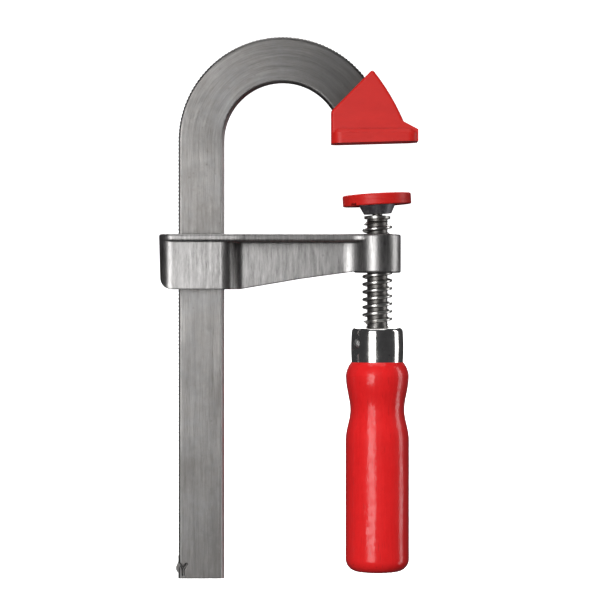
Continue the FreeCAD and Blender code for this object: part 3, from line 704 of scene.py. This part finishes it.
cap_low, cap_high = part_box("plate_cap")
finish_piece("jaw_cap", red_plastic("jaw plastic", "Y", 0.0, 2.6 * MM))
finish_piece("plate_cap", red_plastic("pad plastic", "Z", (cap_low.z + cap_high.z) / 2, 1.0 * MM))

# %% [markdown]
# ## The handle: red lacquer over turned beech
#
# Beech is close-grained, but under thin lacquer its pores still show as short dashes along the
# grain, and the lathe leaves faint rings. The lacquer itself is a clear coat: a glossy layer with
# its own soft ripple and a fine orange-peel, over a red that is a touch darker where it pools.
# Use has rubbed the gloss in small patches, so its highlights are broken. Where the handle meets
# the ferrule and at its foot, the edge is rubbed.

# %% The lacquer's clear coat
RIPPLE_STRETCH = (1.0, 1.0, 0.22)
RIPPLE_DEPTH = 0.2 * MM
PEEL_DEPTH = 0.06 * MM
GLOSSY_COAT, RUBBED_COAT = 0.85, 0.35


def stretched(tree, place, stretch):
    """The place, squeezed so that a pattern on it is drawn out along the grain."""
    return add(tree, "VectorMath", {0: place, 1: stretch}, operation="MULTIPLY").outputs[0]


def coat_normal(tree, place):
    ripple = add(tree, "TexNoise", {"Vector": stretched(tree, place, RIPPLE_STRETCH),
                                    "Scale": 230.0, "Detail": 3.0}).outputs[0]
    peel = add(tree, "TexNoise", {"Vector": place, "Scale": 1100.0, "Detail": 2.0}).outputs[0]
    return bump(tree, peel, PEEL_DEPTH, bump(tree, ripple, RIPPLE_DEPTH))


def coat_weight(tree, place):
    rubs = use(tree, CLOUDS, {"Place": place, "Patches per Metre": 420.0})["Value"]
    return remap(tree, rubs, 0.25, 0.75, GLOSSY_COAT, RUBBED_COAT)


# %% Finish the handle
LACQUER_DEEP = (0.58, 0.010, 0.011, 1)
LACQUER_RED = (0.76, 0.018, 0.019, 1)
LACQUER_PORE = (0.36, 0.01, 0.01, 1)
RUBBED_WOOD = (0.72, 0.20, 0.12, 1)
PORE_STRETCH = (1.0, 1.0, 0.12)


def handle_lacquer():
    material, tree, shader, place = start_material(
        "lacquered beech", Coat_Roughness=0.07, Coat_IOR=1.5, Specular_IOR_Level=0.15)
    grain = use(tree, STREAKS, {"Place": place, "Squeeze": (1.0, 1.0, 0.05),
                                "Lines per Metre": 900.0, "Contrast": 1.8})
    pores = use(tree, SPECKS, {"Place": stretched(tree, place, PORE_STRETCH),
                               "Specks per Metre": 1500.0, "Share": 0.20})["Mask"]
    rings = use(tree, STREAKS, {"Place": place, "Squeeze": (0.02, 0.02, 1.0),
                                "Lines per Metre": 900.0, "Contrast": 1.0})
    pools = use(tree, CLOUDS, {"Place": place, "Patches per Metre": 60.0})["Value"]
    worn = use(tree, WORN_EDGES, {"Place": place, "Width": 0.5 * MM})["Mask"]
    tone = blend_colour(tree, grain["Tint"], LACQUER_DEEP, LACQUER_RED)
    tone = lay_over(tree, tone, pools, 0.4, LACQUER_RED)
    tone = lay_over(tree, tone, pores, 0.35, LACQUER_PORE)
    tone = lay_over(tree, tone, worn, 0.3, RUBBED_WOOD)
    rough = remap(tree, pools, 0.0, 1.0, 0.28, 0.40)
    normal = bump(tree, pores, -0.02 * MM)
    normal = bump(tree, grain["Height"], 0.02 * MM, normal)
    normal = bump(tree, rings["Height"], 0.02 * MM, normal)
    fill(tree, shader, {"Base Color": tone, "Roughness": rough, "Normal": normal,
                        "Coat Weight": coat_weight(tree, place),
                        "Coat Normal": coat_normal(tree, place)})
    return material


finish_piece("handle", handle_lacquer())

# %% [markdown]
# ## Studio
#
# Metal shows its surroundings and little else, so the studio decides how the clamp looks. It is
# lit as a catalogue does it: one tall soft box in front on the left, one at the right side, and
# darkness between them, so every rounded edge gets a bright line and a dark one. The floor is a
# pale sweep that rises behind the clamp. It lies 100 mm below the bar, because the handle goes
# down with the arm and mustn't go through the floor. It is kept out of the metal's
# reflections and gives the clamp no light of its own, which would otherwise wash it out.

# %% The floor sweep
SWEEP_REACH, SWEEP_RISE, SWEEP_BEND = 0.75, 1.1, 0.35
SWEEP_HALF_WIDTH = 1.3
SWEEP_STEPS = 16
FLOOR_DROP = 100 * MM          # the handle needs 90 mm of it when the arm is at the bar's foot


def make_sweep():
    floor_z = low.z - FLOOR_DROP
    outline = [(-SWEEP_REACH, floor_z)]
    for step in range(SWEEP_STEPS + 1):
        angle = math.pi / 2 * step / SWEEP_STEPS
        outline.append((SWEEP_REACH - SWEEP_BEND + SWEEP_BEND * math.sin(angle),
                        floor_z + SWEEP_BEND * (1 - math.cos(angle))))
    outline.append((SWEEP_REACH, floor_z + SWEEP_RISE))
    vertices = [(centre.x + side * SWEEP_HALF_WIDTH, y, z)
                for y, z in outline for side in (-1, 1)]
    faces = [(i, i + 1, i + 3, i + 2) for i in range(0, len(vertices) - 2, 2)]
    mesh = bpy.data.meshes.new("floor_sweep")
    mesh.from_pydata(vertices, [], faces)
    for polygon in mesh.polygons:
        polygon.use_smooth = True
    sweep = bpy.data.objects.new("floor_sweep", mesh)
    bpy.context.scene.collection.objects.link(sweep)
    sweep.visible_glossy = False
    sweep.visible_diffuse = False
    return sweep


sweep = make_sweep()
print("floor at z in mm:", round((low.z - FLOOR_DROP) / MM, 2))

# %% The floor's paper
DULL_PAPER = (0.93, 0.93, 0.93, 1)
BRIGHT_PAPER = (0.95, 0.95, 0.95, 1)
WHITE = (1, 1, 1, 1)


def floor_paper():
    material, tree, shader, place = start_material("pale paper", Roughness=0.9)
    fibres = use(tree, CLOUDS, {"Place": place, "Patches per Metre": 30.0})["Value"]
    tone = blend_colour(tree, fibres, DULL_PAPER, BRIGHT_PAPER)
    fill(tree, shader, {"Base Color": tone, "Emission Color": WHITE, "Emission Strength": 0.8})
    return material


sweep.data.materials.append(floor_paper())

# %% [markdown]
# The background beyond the sweep is white to the camera, and dim grey to everything else. A
# Light Path node in the world tells the two apart, so the white doesn't flood the metal.

# %% World and colour
DIM_ROOM = (0.045, 0.045, 0.047, 1)


def make_world():
    world = bpy.data.worlds.new("studio")
    world.use_nodes = True
    tree = world.node_tree
    background = tree.nodes["Background"]
    seen = add(tree, "LightPath").outputs["Is Camera Ray"]
    tree.links.new(blend_colour(tree, seen, DIM_ROOM, WHITE), background.inputs["Color"])
    return world


bpy.context.scene.world = make_world()
bpy.context.scene.view_settings.view_transform = "Standard"
bpy.context.scene.view_settings.look = "None"

# %% [markdown]
# Lights are placed by how they are seen from the clamp: a bearing from the camera's side, a
# height angle, and a distance. A positive bearing is to the right. A round piece shows a light
# at half its bearing, so the left box at 22 degrees makes a bright band just left of the middle
# of every cylinder. The top box lights level faces, and the back box is there for whoever looks
# from behind. The two fill boxes lift the colour of plastic and wood and are hidden from
# reflections, so they leave the metal alone.

# %% Soft boxes
def soft_box(name, bearing, rise, distance, width, height, power, reflected):
    data = bpy.data.lights.new(name, "AREA")
    data.shape = "RECTANGLE"
    data.size = width
    data.size_y = height
    data.energy = power
    light = bpy.data.objects.new(name, data)
    turn, lift = math.radians(bearing), math.radians(rise)
    away = Vector((math.sin(turn) * math.cos(lift), -math.cos(turn) * math.cos(lift),
                   math.sin(lift)))
    light.location = centre + away * distance
    light.rotation_euler = away.to_track_quat("Z", "Y").to_euler()
    light.visible_camera = False
    light.visible_glossy = reflected
    bpy.context.scene.collection.objects.link(light)
    print(f"{name}: {width} x {height} m at {bearing} degrees, {power} W")


# name, bearing and rise in degrees, distance, width and height in metres, watts, reflected
SOFT_BOXES = [
    ("left box", -22, 2, 0.70, 0.34, 0.46, 2.05, True),
    ("right box", 94, 2, 0.70, 0.22, 0.9, 1.7, True),
    ("top box", 0, 80, 0.80, 0.7, 0.5, 1.6, True),
    ("back box", 178, 38, 0.62, 0.40, 0.34, 2.4, True),
    ("back fill box", 180, 30, 0.62, 0.8, 0.5, 5.0, False),
    ("fill box", -12, 18, 1.2, 1.2, 1.2, 14.0, False),
]
for box in SOFT_BOXES:
    soft_box(*box)

# %% [markdown]
# ## Camera
#
# The clamp is seen straight on, from far enough away that the perspective is mild. The lens
# follows from the distance and from how much of the clamp's height fills the frame.

# %% Place the camera
CAMERA_DISTANCE = 0.80
FRAME_WIDTH = 0.1987
VIEW_CENTRE = Vector((low.x + 47.2 * MM, 0.0, low.z + 89.5 * MM))
SENSOR = 36.0

camera_data = bpy.data.cameras.new("camera")
camera_data.sensor_width = SENSOR
camera_data.lens = SENSOR * CAMERA_DISTANCE / FRAME_WIDTH
camera_data.clip_start = 0.01
camera = bpy.data.objects.new("camera", camera_data)
camera.location = VIEW_CENTRE - Vector((0.0, CAMERA_DISTANCE, 0.0))
camera.rotation_euler = (math.radians(90), 0.0, 0.0)
bpy.context.scene.collection.objects.link(camera)
bpy.context.scene.camera = camera
print("lens in mm:", round(camera_data.lens, 1))

# %% [markdown]
# ## The clamp's size
#
# The finishes must not change the clamp's size.


print("finishes done")
